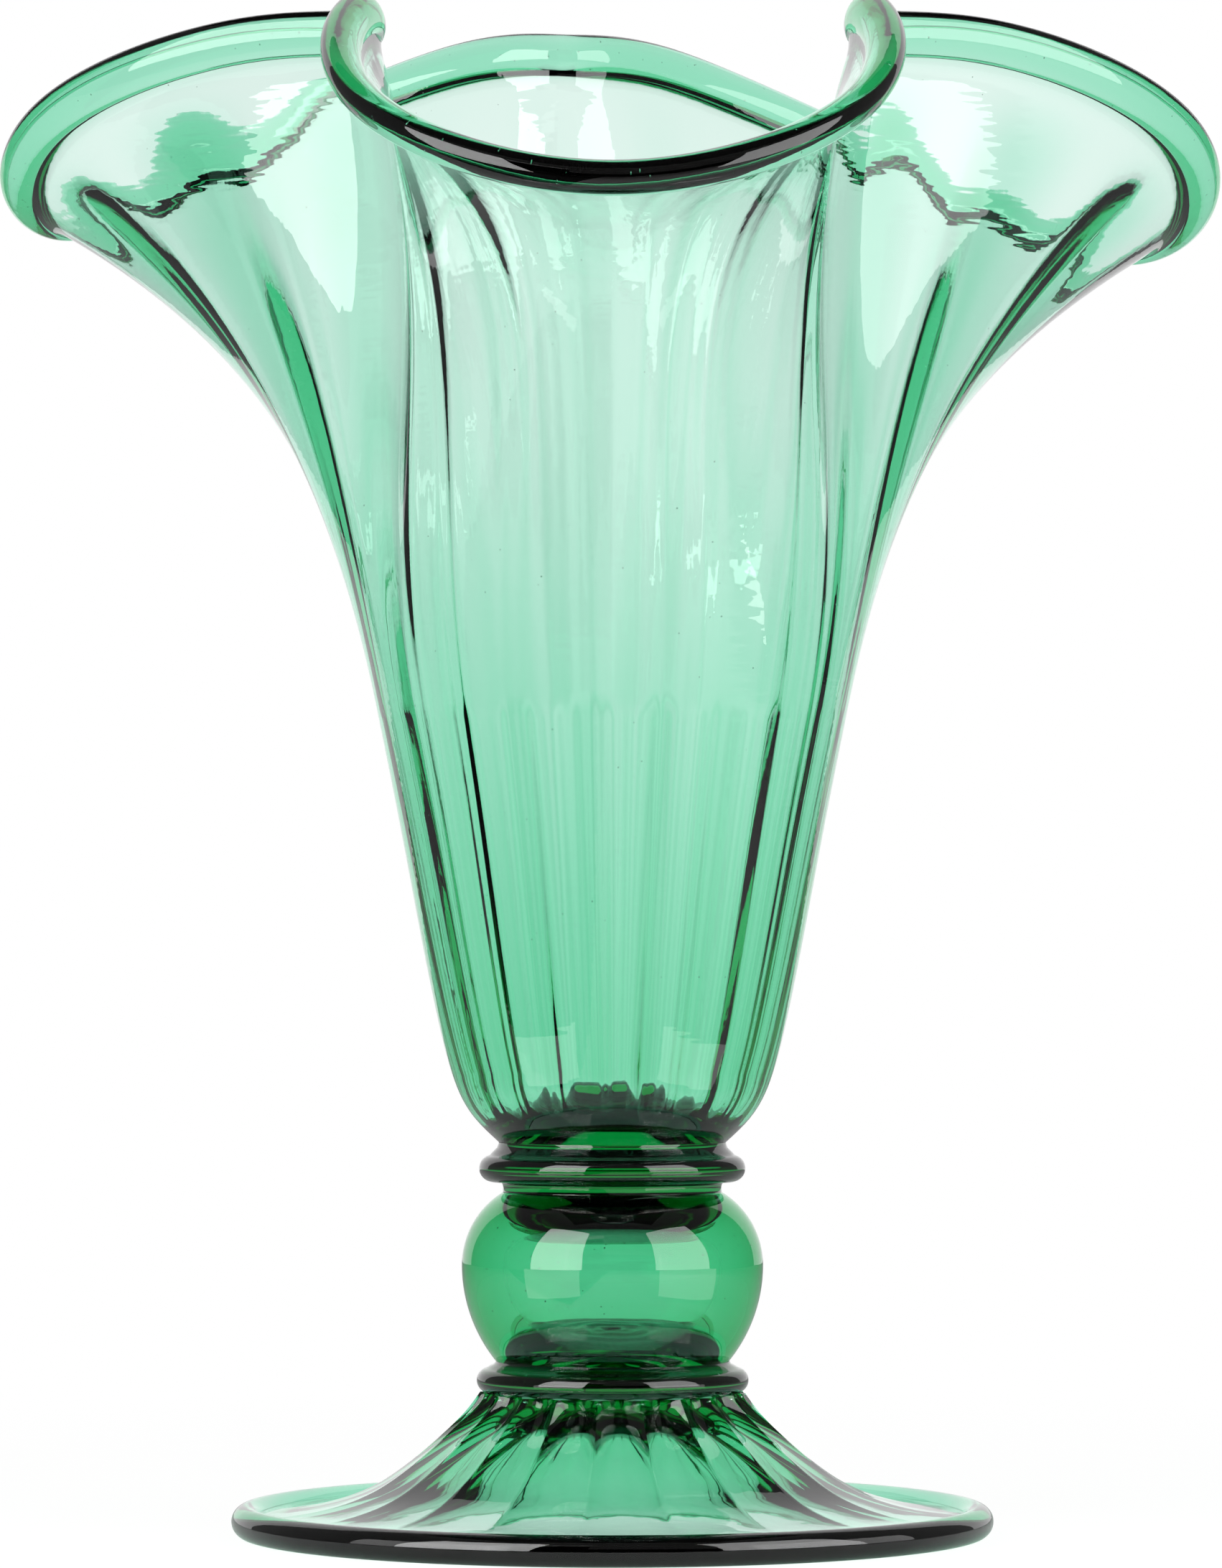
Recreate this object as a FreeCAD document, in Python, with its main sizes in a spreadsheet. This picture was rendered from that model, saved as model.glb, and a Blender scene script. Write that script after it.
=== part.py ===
import FreeCAD, Part
import math
import os
import Sketcher
from FreeCAD import Vector

# A hand-blown glass vase: a ribbed trumpet bowl whose rim is drawn into three lobes,
# on a stem of two solid discs and a hollow ball, over a fluted, spreading foot.
# Millimetres and degrees. The stem's axis is Z and the foot stands on the plane of zero height.
# Glass that was joined hot meets face to face, so every piece is stacked on the one below.
SIZES = {
    "rib_count": 20,
    "rib_bearing": 12.0,
    # Foot: a fluted cone that runs out into a flat brim
    "foot_height": 27.4,
    "foot_neck_radius": 25.8,
    "foot_brim_radius": 67.9,
    "foot_brim_thickness": 2.7,
    "foot_core_thickness": 9.6,
    "foot_wall": 3.4,
    "flute_depth": 2.3,
    # Rim wrap of the foot: a round rod of glass, ground flat where it stands
    "foot_wrap_radius": 3.05,
    "ground_depth": 0.25,
    # Lower disc of the stem
    "lower_disc_radius": 26.3,
    "lower_disc_thickness": 4.8,
    "lower_hub_radius": 22.6,
    "lower_hub_rise": 1.3,
    # Ball of the stem, hollow, thick at both poles
    "ball_height": 32.7,
    "ball_radius": 29.2,
    "ball_waist_height": 18.6,
    "ball_wall": 8.4,
    "ball_floor": 8.2,
    "ball_roof": 8.0,
    "hollow_floor_radius": 14.5,
    "hollow_roof_radius": 15.0,
    # Upper disc of the stem
    "upper_hub_drop": 2.0,
    "upper_hub_low_radius": 21.2,
    "upper_disc_radius": 25.8,
    "upper_disc_thickness": 5.2,
    "upper_hub_rise": 2.4,
    "upper_hub_radius": 22.0,
    "disc_fillet": 0.8,
    # Bowl: a round trumpet up to its throat, then three lobes
    "throat_height": 82.3,
    "throat_radius": 45.4,
    "bowl_floor": 8.6,
    "floor_dome": 3.6,
    "floor_corner": 6.5,
    "bowl_wall": 6.0,
    "throat_wall": 3.2,
    "rim_wall": 2.2,
    "bowl_rib_depth": 0.6,
    # Lip: an oval rod of glass laid round the rim, its long way along the wall
    "lip_breadth": 9.0,
    "lip_thickness": 6.4,
    # Rim line at the middle of the lip: heights are above the bowl's own base
    "front_reach": 122.0,
    "right_reach": 129.0,
    "left_reach": 126.0,
    "front_lobe_height": 173.0,
    "right_lobe_height": 181.5,
    "left_lobe_height": 185.0,
    "right_fold_radius": 57.0,
    "back_fold_radius": 61.0,
    "left_fold_radius": 56.0,
    "front_fold_height": 212.2,
    "back_fold_height": 219.8,
    # Bearings about the axis, from the right-hand side
    "right_fold_bearing": -30.0,
    "right_lobe_bearing": 33.0,
    "back_fold_bearing": 99.5,
    "left_lobe_bearing": 153.0,
    "left_fold_bearing": 210.0,
    "front_lobe_bearing": 270.0,
    # How steeply the wall climbs where it meets the lip
    "front_climb": 12.0,
    "side_climb": 28.0,
    "fold_climb": 72.0,
}

# Trumpet of the bowl: share of the throat's height, share of the way from seat to throat radius
TRUMPET_SHARES = [
    (0.0, 0.0),
    (0.05, 0.18),
    (0.12, 0.335),
    (0.19, 0.42),
    (0.32, 0.53),
    (0.46, 0.63),
    (0.73, 0.81),
    (1.0, 1.0),
]

# Dome of the bowl's floor: share of the floor's radius, share of the dome's rise
DOME_SHARES = [(0.06, 1.0), (0.4, 0.86), (0.75, 0.36)]

# Outside of the foot, from the neck: share of the way out to the brim, share of the drop
# to the brim's top, share of the flutes' full depth
FOOT_SHARES = [
    (0.0, 0.0, 1.0),
    (0.055, 0.135, 0.95),
    (0.16, 0.33, 0.8),
    (0.25, 0.475, 0.62),
    (0.38, 0.66, 0.45),
    (0.5, 0.795, 0.33),
    (0.64, 0.895, 0.2),
    (0.81, 0.965, 0.08),
    (1.0, 1.0, 0.0),
]

# Hollow under the foot: share of the way out to the brim's inner edge, share of the drop
# from the hollow's roof to the brim's underside
HOLLOW_SHARES = [
    (0.0, 0.0),
    (0.3, 0.015),
    (0.42, 0.1),
    (0.52, 0.29),
    (0.62, 0.53),
    (0.73, 0.75),
    (0.86, 0.91),
    (1.0, 1.0),
]

# Rim from a fold to a lobe's tip: share of the turn, of the reach and of the drop
SIDE_FLANK_SHARES = [(0.27, 0.23, 0.01), (0.6, 0.77, 0.44)]
FRONT_FLANK_SHARES = [(0.27, 0.2, 0.01), (0.6, 0.8, 0.585)]

# Levels of the lobed part of the bowl, as shares of the run from throat to rim
LOBE_LEVEL_SHARES = (0.17, 0.34, 0.51, 0.67, 0.84, 1.0)

# How strongly the wall keeps its end directions, as a share of the straight run
PULL_SHARE = 1.15

# Points for each rib on a ring of the bowl or the lip, and of the foot with its sharp crests
BOWL_STATIONS = 2
FOOT_STATIONS = 4

LIP_POINTS = 7
CORNER_TURNS = (0.0, 35.0, 65.0, 90.0)
FULL_TURN = 360.0
UP = Vector(0, 0, 1)

os.makedirs("parts", exist_ok=True)
doc = FreeCAD.newDocument("Vase")
sheet = doc.addObject("Spreadsheet::Sheet", "Sizes")
for row, (alias, value) in enumerate(SIZES.items(), 1):
    sheet.set(f"A{row}", alias)
    sheet.set(f"B{row}", str(value))
    sheet.setAlias(f"B{row}", alias)
doc.recompute()

# What stands under each piece, by the names of its heights
UNDER_LOWER_DISC = ["foot_height"]
UNDER_BALL = UNDER_LOWER_DISC + ["lower_disc_thickness", "lower_hub_rise"]
UNDER_UPPER_DISC = UNDER_BALL + ["ball_height"]
UNDER_BOWL = UNDER_UPPER_DISC + ["upper_hub_drop", "upper_disc_thickness", "upper_hub_rise"]


def size(name):
    return float(sheet.get(name))


def cell(name):
    return f"Sizes.{name}"


def amount(*terms):
    """A sum of sizes as (expression, value). A term is a name or (share, name)."""
    pairs = [(1, term) if isinstance(term, str) else term for term in terms]
    text = " + ".join(f"{share} * {cell(name)}" for share, name in pairs)
    return text, sum(share * size(name) for share, name in pairs)


def leg(long_side, short_side):
    """The other side of a right triangle, from two sums of sizes."""
    text = f"sqrt(({long_side[0]})^2 - ({short_side[0]})^2)"
    return text, math.sqrt(long_side[1] ** 2 - short_side[1] ** 2)


def plus(first, second):
    return f"{first[0]} + {second[0]}", first[1] + second[1]


def minus(first, second):
    return f"{first[0]} - ({second[0]})", first[1] - second[1]


NOTHING = ("", 0.0)


def stand(piece, under):
    """Stack a piece on the heights of what is under it."""
    if under:
        piece.setExpression("Placement.Base.z", amount(*under)[0])


# Turned pieces: a body whose outline lies in its upright plane

def new_body(name, under):
    body = doc.addObject("PartDesign::Body", name)
    body.Label = name
    stand(body, under)
    return body


def bind(sketch, kind, geometry, point, value):
    """Hold one coordinate of a point to a sum of sizes, or to the axis where it is nothing."""
    if value == NOTHING:
        axis = -2 if kind == "DistanceX" else -1
        sketch.addConstraint(Sketcher.Constraint("PointOnObject", geometry, point, axis))
        return
    text, number = value
    index = sketch.addConstraint(Sketcher.Constraint(kind, -1, 1, geometry, point, number))
    sketch.setExpression(f"Constraints[{index}]", text)


def arc_middle(start, end, kind, value):
    """The middle of a circle through two points, given one of the middle's coordinates."""
    half = (start + end) * 0.5
    chord = end - start
    if kind == "DistanceX":
        return Vector(value, half.y - (value - half.x) * chord.x / chord.y, 0)
    return Vector(half.x - (value - half.y) * chord.y / chord.x, value, 0)


def arc_between(start, end, middle):
    """The shorter arc, and which of its ends is the start: an arc always runs anticlockwise."""
    circle = Part.Circle(middle, UP, (start - middle).Length)
    first, last = circle.parameter(start), circle.parameter(end)
    if (last - first) % (2 * math.pi) <= math.pi:
        return Part.ArcOfCircle(circle, first, last), (1, 2)
    return Part.ArcOfCircle(circle, last, first), (2, 1)


def outline(body, name, corners, arcs):
    """A closed outline. corners holds (radius, height) pairs of sums of sizes. arcs holds,
    by the corner that an arc starts from, the coordinate of its middle that is given."""
    plane = next(item for item in body.Origin.OriginFeatures if item.Role == "XZ_Plane")
    sketch = body.newObject("Sketcher::SketchObject", name)
    sketch.AttachmentSupport = [(plane, "")]
    sketch.MapMode = "FlatFace"
    points = [Vector(radius[1], height[1], 0) for radius, height in corners]
    ends = []
    for index, start in enumerate(points):
        end = points[(index + 1) % len(points)]
        if index in arcs:
            kind, value = arcs[index]
            edge, order = arc_between(start, end, arc_middle(start, end, kind, value[1]))
        else:
            edge, order = Part.LineSegment(start, end), (1, 2)
        sketch.addGeometry(edge, False)
        ends.append(order)
    for index, (radius, height) in enumerate(corners):
        after = (index + 1) % len(corners)
        sketch.addConstraint(
            Sketcher.Constraint("Coincident", index, ends[index][1], after, ends[after][0])
        )
        bind(sketch, "DistanceX", index, ends[index][0], radius)
        bind(sketch, "DistanceY", index, ends[index][0], height)
        if index in arcs:
            kind, value = arcs[index]
            bind(sketch, kind, index, 3, value)
    return sketch


def turn(body, kind, name, sketch):
    feature = body.newObject(kind, name)
    feature.Profile = sketch
    feature.ReferenceAxis = (sketch, ["V_Axis"])
    feature.Angle = FULL_TURN
    doc.recompute()
    return feature


def round_corners(body, base, places):
    """Round the ring-shaped edges that lie at the given radii and heights."""
    names = []
    for number, edge in enumerate(base.Shape.Edges, 1):
        box = edge.BoundBox
        for radius, height in places:
            ring = abs(box.XMax - radius) < 1e-4 and box.ZLength < 1e-4
            if ring and abs(box.ZMax - height) < 1e-4:
                names.append(f"Edge{number}")
    fillet = body.newObject("PartDesign::Fillet", f"{body.Name}_rounding")
    fillet.Base = (base, names)
    fillet.setExpression("Radius", cell("disc_fillet"))
    return fillet


def stem_disc(name, under, disc, low_hub, drop, top_hub, rise):
    """A solid disc with a round edge, between two short hubs. The lower one may be missing."""
    reach = amount(f"{disc}_radius", (-0.5, f"{disc}_thickness"))
    bottom = amount(drop) if drop else NOTHING
    top = plus(bottom, amount(f"{disc}_thickness")) if drop else amount(f"{disc}_thickness")
    crown = plus(top, amount(rise))
    low = [(amount(low_hub), NOTHING), (amount(low_hub), bottom)] if drop else []
    corners = [(NOTHING, NOTHING), *low, (reach, bottom), (reach, top)]
    corners += [(amount(top_hub), top), (amount(top_hub), crown), (NOTHING, crown)]
    edge_start = len(low) + 1
    body = new_body(name, under)
    sketch = outline(body, f"{name}_outline", corners, {edge_start: ("DistanceX", reach)})
    solid = turn(body, "PartDesign::Revolution", f"{name}_turned", sketch)
    seams = [(size(top_hub), top[1])]
    if drop:
        seams.append((size(low_hub), bottom[1]))
    round_corners(body, solid, seams)
    return body


def stem_ball():
    """A blown ball: two arcs that meet at its waist, round a hollow with thick poles."""
    body = new_body("ball_knop", UNDER_BALL)
    waist = amount("ball_waist_height")
    top = amount("ball_height")
    corners = [
        (NOTHING, NOTHING),
        (amount("lower_hub_radius"), NOTHING),
        (amount("ball_radius"), waist),
        (amount("upper_hub_low_radius"), top),
        (NOTHING, top),
    ]
    arcs = {1: ("DistanceY", waist), 2: ("DistanceY", waist)}
    turn(body, "PartDesign::Revolution", "ball_turned", outline(body, "ball_outline", corners, arcs))
    roof = amount("ball_height", (-1, "ball_roof"))
    hollow = [
        (NOTHING, amount("ball_floor")),
        (amount("hollow_floor_radius"), amount("ball_floor")),
        (amount("ball_radius", (-1, "ball_wall")), waist),
        (amount("hollow_roof_radius"), roof),
        (NOTHING, roof),
    ]
    turn(body, "PartDesign::Groove", "ball_hollow", outline(body, "hollow_outline", hollow, arcs))
    return body


def foot_wrap():
    """A round rod bent into a ring, flat where it takes the brim and where it was ground."""
    body = new_body("foot_wrap", [])
    rod = amount("foot_wrap_radius")
    half_brim = amount((0.5, "foot_brim_thickness"))
    middle = amount("foot_wrap_radius", (-1, "ground_depth"))
    brim = amount("foot_brim_radius")
    ring = plus(brim, leg(rod, half_brim))
    flat = leg(rod, middle)
    corners = [
        (brim, minus(middle, half_brim)),
        (minus(ring, flat), NOTHING),
        (plus(ring, flat), NOTHING),
        (plus(ring, rod), middle),
        (brim, plus(middle, half_brim)),
    ]
    arcs = {0: ("DistanceY", middle), 2: ("DistanceY", middle), 3: ("DistanceY", middle)}
    turn(body, "PartDesign::Revolution", "wrap_turned", outline(body, "wrap_outline", corners, arcs))
    return body


# Blown pieces: skins through closed rings, one ring a level, one point a station

def stations(per_rib):
    """Bearings of a ring's points. The first of them is on a rib's crest."""
    count = int(size("rib_count")) * per_rib
    return [size("rib_bearing") + FULL_TURN * index / count for index in range(count)]


def outward(bearing):
    return Vector(math.cos(math.radians(bearing)), math.sin(math.radians(bearing)), 0)


def ring_curve(points):
    """A smooth closed curve. Even parameters let all the rings of a skin share their knots."""
    curve = Part.BSplineCurve()
    evenly = [float(step) for step in range(len(points) + 1)]
    curve.interpolate(Points=points, PeriodicFlag=True, Parameters=evenly)
    return curve


def ring_steps(rings):
    """How far each ring lies along the skin, by the mean distance from ring to ring."""
    steps = [0.0]
    for before, after in zip(rings, rings[1:]):
        spans = [(end - start).Length for start, end in zip(before, after)]
        steps.append(steps[-1] + sum(spans) / len(spans))
    return steps


def skin(rings):
    """One smooth face through closed rings: a curve across them for each pole of the rings."""
    around = [ring_curve(points) for points in rings]
    steps = ring_steps(rings)
    columns = []
    for poles in zip(*[curve.getPoles() for curve in around]):
        across = Part.BSplineCurve()
        across.interpolate(Points=list(poles), Parameters=steps)
        columns.append(across.getPoles())
    surface = Part.BSplineSurface()
    surface.buildFromPolesMultsKnots(
        columns,
        around[0].getMultiplicities(),
        across.getMultiplicities(),
        around[0].getKnots(),
        across.getKnots(),
        True,
        False,
        around[0].Degree,
        across.Degree,
    )
    return surface.toShape()


def disc_face(points):
    return Part.Face(Part.Wire([ring_curve(points).toShape()]))


def solid_of(faces):
    shell = Part.makeShell(faces)
    shell.sewShape()
    solid = Part.Solid(shell)
    if solid.Volume < 0:
        solid.reverse()
    return solid


def flute(index):
    """Scallop between sharp crests: 0 on a crest, 1 in the valley."""
    return abs(math.sin(math.pi * index / FOOT_STATIONS))


def swell(index):
    """Soft rib: 1 on a crest, 0 in the valley."""
    return 0.5 + 0.5 * math.cos(2 * math.pi * index / BOWL_STATIONS)


def brim_heights():
    middle = size("foot_wrap_radius") - size("ground_depth")
    half = size("foot_brim_thickness") / 2
    return middle - half, middle + half


def foot_rings():
    """Rings of the fluted outside, from the neck down. A flute is sunk square to the outline."""
    neck, top = size("foot_neck_radius"), size("foot_height")
    reach = size("foot_brim_radius") - neck
    drop = top - brim_heights()[1]
    path = [(neck + out * reach, top - down * drop) for out, down, _ in FOOT_SHARES]
    rings = []
    for level, (radius, height) in enumerate(path):
        before, after = path[max(level - 1, 0)], path[min(level + 1, len(path) - 1)]
        along = Vector(after[0] - before[0], 0, after[1] - before[1]).normalize()
        inward, lower = (along.z, -along.x) if level else (-1, 0)
        depth = size("flute_depth") * FOOT_SHARES[level][2]
        ring = []
        for index, bearing in enumerate(stations(FOOT_STATIONS)):
            sunk = depth * flute(index)
            ring.append(outward(bearing) * (radius + inward * sunk) + UP * (height + lower * sunk))
        rings.append(ring)
    return rings


def foot_hollow():
    """The space under the foot, turned from its own outline and open below."""
    underside = brim_heights()[0]
    roof = size("foot_height") - size("foot_core_thickness")
    edge = size("foot_brim_radius") - size("foot_wall")
    points = [
        Vector(edge * out, 0, roof - (roof - underside) * down) for out, down in HOLLOW_SHARES
    ]
    curve = Part.BSplineCurve()
    curve.interpolate(Points=points)
    ground = [Vector(edge, 0, 0), Vector(0, 0, 0)]
    sides = Part.makePolygon([points[-1], *ground, points[0]])
    face = Part.Face(Part.Wire([curve.toShape(), *sides.Edges]))
    return face.revolve(Vector(0, 0, 0), UP, FULL_TURN)


def foot():
    rings = foot_rings()
    underside = [Vector(point.x, point.y, brim_heights()[0]) for point in rings[-1]]
    edge = skin([rings[-1], underside])
    faces = [skin(rings), edge, disc_face(rings[0]), disc_face(underside)]
    return solid_of(faces).cut(foot_hollow())


def rim_posts():
    """The rim's own points, in order of bearing: (bearing, radius, height, climb)."""
    folds = {
        "right": ("right_fold_bearing", "right_fold_radius", "front_fold_height"),
        "back": ("back_fold_bearing", "back_fold_radius", "back_fold_height"),
        "left": ("left_fold_bearing", "left_fold_radius", "front_fold_height"),
    }
    lobes = [
        ("right", "right", "back", 0.0, 0.0, "side_climb", SIDE_FLANK_SHARES),
        ("left", "back", "left", 0.0, 0.0, "side_climb", SIDE_FLANK_SHARES),
        ("front", "left", "right", 0.0, FULL_TURN, "front_climb", FRONT_FLANK_SHARES),
    ]
    posts = []
    for name, first, last, first_turn, last_turn, climb, shares in lobes:
        tip = (
            size(f"{name}_lobe_bearing"),
            size(f"{name}_reach"),
            size(f"{name}_lobe_height"),
            size(climb),
        )
        start = tuple(size(part) for part in folds[first]) + (size("fold_climb"),)
        end = tuple(size(part) for part in folds[last]) + (size("fold_climb"),)
        start = (start[0] + first_turn, *start[1:])
        end = (end[0] + last_turn, *end[1:])
        posts.append(start)
        posts += [flank(start, tip, row) for row in shares]
        posts.append(tip)
        posts += [flank(end, tip, row) for row in reversed(shares)]
    return posts


def flank(fold, tip, row):
    turned, out, down = row
    bearing, radius, height, climb = (tip[part] - fold[part] for part in range(4))
    return (
        fold[0] + bearing * turned,
        fold[1] + radius * out,
        fold[2] + height * down,
        fold[3] + climb * down,
    )


class Rim:
    """The middle line of the lip, and the directions of wall and lip along it."""

    def __init__(self):
        posts = rim_posts()
        turns = [post[0] for post in posts] + [posts[0][0] + FULL_TURN]
        self.first = turns[0]
        self.course = Part.BSplineCurve()
        self.course.interpolate(
            Points=[Vector(*post[1:]) for post in posts], PeriodicFlag=True, Parameters=turns
        )

    def frame(self, bearing):
        """Middle of the lip, the direction up along the wall, and the wall's outside normal."""
        turned = self.first + (bearing - self.first) % FULL_TURN
        radius, height, climb = self.course.value(turned)
        change = self.course.getD1(turned)[1] * math.degrees(1)
        out = outward(bearing)
        along = (out * change.x + UP.cross(out) * radius + UP * change.y).normalize()
        level = Vector(along.y, -along.x, 0).normalize()
        rise = level * math.cos(math.radians(climb)) + UP * math.sin(math.radians(climb))
        normal = along.cross(rise).normalize()
        return out * radius + UP * height, normal.cross(along), normal


def lip_seat():
    """How far below the lip's middle the wall ends: there the oval is as thick as the wall."""
    share = size("rim_wall") / size("lip_thickness")
    return size("lip_breadth") / 2 * math.sqrt(1 - share**2)


def trumpet():
    """Outside of the bowl's round part as (radius, height), and its wall there."""
    seat, throat = size("upper_hub_radius"), size("throat_radius")
    rows = []
    for up, out in TRUMPET_SHARES:
        wall = size("bowl_wall") + up * (size("throat_wall") - size("bowl_wall"))
        rows.append((seat + out * (throat - seat), up * size("throat_height"), wall))
    return rows


def inner_trumpet():
    """Inside of the round part, from the floor up, with the share of the ribs' depth."""
    rows = trumpet()
    corner = size("floor_corner")
    floor = size("bowl_floor")
    above = next(index for index, row in enumerate(rows) if row[1] > floor + corner)
    low, high = rows[above - 1], rows[above]
    share = (floor + corner - low[1]) / (high[1] - low[1])
    radius = low[0] + share * (high[0] - low[0]) - low[2]
    rise = size("floor_dome")
    inner = [((radius - corner) * out, floor + rise * up, 0.0) for out, up in DOME_SHARES]
    for turned in CORNER_TURNS:
        run, lift = math.sin(math.radians(turned)), 1 - math.cos(math.radians(turned))
        inner.append((radius - corner * (1 - run), floor + corner * lift, run))
    return inner + [(row[0] - row[2], row[1], 1.0) for row in rows[above + 1 :]]


def bowl_rings(rim, inside):
    """Rings of one side of the wall, from the bottom to the rim."""
    depth = size("bowl_rib_depth") if inside else 0.0
    rows = inner_trumpet() if inside else [(row[0], row[1], 0.0) for row in trumpet()]
    bearings = stations(BOWL_STATIONS)
    rings = []
    for radius, height, share in rows:
        ring = []
        for index, bearing in enumerate(bearings):
            reach = radius - depth * share * swell(index)
            ring.append(outward(bearing) * reach + UP * height)
        rings.append(ring)
    (low_radius, low_height, _), (radius, height, _) = rows[-2], rows[-1]
    side = -0.5 if inside else 0.5
    for share in LOBE_LEVEL_SHARES:
        ring = []
        for index, bearing in enumerate(bearings):
            middle, wall, normal = rim.frame(bearing)
            end = middle - wall * lip_seat() + normal * (side * size("rim_wall"))
            start = outward(bearing) * radius + UP * height
            lean = outward(bearing) * (radius - low_radius) + UP * (height - low_height)
            pull = (end - start).Length * PULL_SHARE
            point = blend(start, lean.normalize() * pull, end, wall * pull, share)
            sunk = depth * (1 - share**3) * swell(index)
            ring.append(point - outward(bearing) * sunk)
        rings.append(ring)
    return rings


def blend(start, start_run, end, end_run, share):
    """A smooth run between two points that leaves and arrives in given directions."""
    square, cube = share**2, share**3
    return (
        start * (2 * cube - 3 * square + 1)
        + start_run * (cube - 2 * square + share)
        + end * (3 * square - 2 * cube)
        + end_run * (cube - square)
    )


def bowl(rim):
    outside, inside = bowl_rings(rim, False), bowl_rings(rim, True)
    faces = [skin(outside), skin(inside), skin([outside[-1], inside[-1]])]
    return solid_of([*faces, disc_face(outside[0]), disc_face(inside[0])])


def lip(rim):
    """An oval rod laid once round the rim, and cut straight where the wall comes in."""
    half_breadth, half_thickness = size("lip_breadth") / 2, size("lip_thickness") / 2
    opening = math.acos(-lip_seat() / half_breadth)
    frames = [rim.frame(bearing) for bearing in stations(BOWL_STATIONS)]
    rings = []
    for step in range(LIP_POINTS):
        turned = opening * (2 * step / (LIP_POINTS - 1) - 1)
        up_wall, across = half_breadth * math.cos(turned), half_thickness * math.sin(turned)
        rings.append([middle + wall * up_wall + normal * across for middle, wall, normal in frames])
    return solid_of([skin(rings), skin([rings[0], rings[-1]])])


def blown_piece(name, shape, under):
    piece = doc.addObject("Part::Feature", name)
    piece.Label = name
    piece.Shape = shape
    stand(piece, under)
    return piece


def build():
    rim = Rim()
    pieces = [
        blown_piece("foot", foot(), []),
        foot_wrap(),
        stem_disc(
            "lower_disc",
            UNDER_LOWER_DISC,
            "lower_disc",
            "",
            "",
            "lower_hub_radius",
            "lower_hub_rise",
        ),
        stem_ball(),
        stem_disc(
            "upper_disc",
            UNDER_UPPER_DISC,
            "upper_disc",
            "upper_hub_low_radius",
            "upper_hub_drop",
            "upper_hub_radius",
            "upper_hub_rise",
        ),
        blown_piece("bowl", bowl(rim), UNDER_BOWL),
        blown_piece("lip_wrap", lip(rim), UNDER_BOWL),
    ]
    doc.recompute()
    for item in doc.Objects:
        if "Invalid" in item.State or "Error" in item.State:
            raise RuntimeError(f"{item.Label} did not build: {item.State}")
    for piece in pieces:
        shape = piece.Shape
        if shape.isNull() or not shape.isValid() or len(shape.Solids) != 1:
            raise RuntimeError(f"{piece.Label} is not one sound solid")
    for piece in pieces:
        piece.Shape.exportStep(f"parts/{piece.Label}.step")
        box = piece.Shape.BoundBox
        print(piece.Label, round(piece.Shape.Volume), round(box.ZMin, 2), round(box.ZMax, 2))


build()
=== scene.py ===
import math
import bpy
import numpy as np
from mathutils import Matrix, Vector


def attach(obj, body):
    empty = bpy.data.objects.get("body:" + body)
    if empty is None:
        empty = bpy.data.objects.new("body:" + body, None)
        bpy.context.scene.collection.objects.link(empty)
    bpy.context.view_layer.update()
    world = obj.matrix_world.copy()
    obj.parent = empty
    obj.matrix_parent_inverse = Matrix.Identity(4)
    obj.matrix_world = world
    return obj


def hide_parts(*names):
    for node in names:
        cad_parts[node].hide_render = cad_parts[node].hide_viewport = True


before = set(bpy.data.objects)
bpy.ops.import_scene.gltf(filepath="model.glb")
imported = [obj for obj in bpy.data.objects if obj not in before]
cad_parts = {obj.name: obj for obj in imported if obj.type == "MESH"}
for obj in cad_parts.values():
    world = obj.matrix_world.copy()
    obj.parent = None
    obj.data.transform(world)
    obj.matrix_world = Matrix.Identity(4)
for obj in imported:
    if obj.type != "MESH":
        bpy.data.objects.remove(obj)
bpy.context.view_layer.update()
MM = 0.001


# Sizes in millimetres and degrees. The outlines follow the same formulas as the solids.

RIBS = 20
RIB_BEARING = 12.0
AROUND = 480
SEAM_GAP = 0.01

BOWL_BASE = 75.8
THROAT_HEIGHT = 82.3
THROAT_RADIUS = 45.4
SEAT_RADIUS = 22.0
BOWL_WALL, THROAT_WALL, RIM_WALL, SEAT_WALL = 6.0, 3.2, 1.5, 2.8
BOWL_FLOOR, FLOOR_DOME, FLOOR_CORNER = 5.0, 9.5, 9.0
LIP_BREADTH, LIP_THICKNESS = 9.0, 6.4
# How strongly the wall keeps its end directions, as a share of the straight run
PULL_SHARE = 1.15
# Share of the throat's height from which the wall's lean at the throat is taken
LEAN_FROM = 0.73
# Share of the run from throat to rim after which the wall swells into its seat on the lip
SWELL_START = 0.965

# Bearing, radius, height above the bowl's base and climb of the wall at the rim's own points
RIGHT_FOLD = (-30.0, 57.0, 212.2, 72.0)
RIGHT_LOBE = (33.0, 129.0, 181.5, 28.0)
BACK_FOLD = (99.5, 61.0, 219.8, 72.0)
LEFT_LOBE = (153.0, 126.0, 185.0, 28.0)
LEFT_FOLD = (210.0, 56.0, 212.2, 72.0)
FRONT_LOBE = (270.0, 122.0, 173.0, -2.0)
NEXT_RIGHT_FOLD = (330.0, 57.0, 212.2, 72.0)
# From a fold to a lobe's tip: share of the turn, of the reach and of the drop
SIDE_FLANK = [(0.27, 0.23, 0.01), (0.6, 0.77, 0.44)]
FRONT_FLANK = [(0.27, 0.2, 0.01), (0.6, 0.8, 0.585)]

# Share of the throat's height, share of the way from seat to throat radius
TRUMPET_SHARES = [
    (0.0, 0.0),
    (0.05, 0.18),
    (0.12, 0.335),
    (0.19, 0.42),
    (0.32, 0.53),
    (0.46, 0.63),
    (0.73, 0.81),
    (1.0, 1.0),
]
# Share of the floor's radius, share of the dome's rise
DOME_SHARES = [(0.0, 1.0), (0.45, 0.88), (0.78, 0.4), (1.0, 0.0)]
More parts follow.
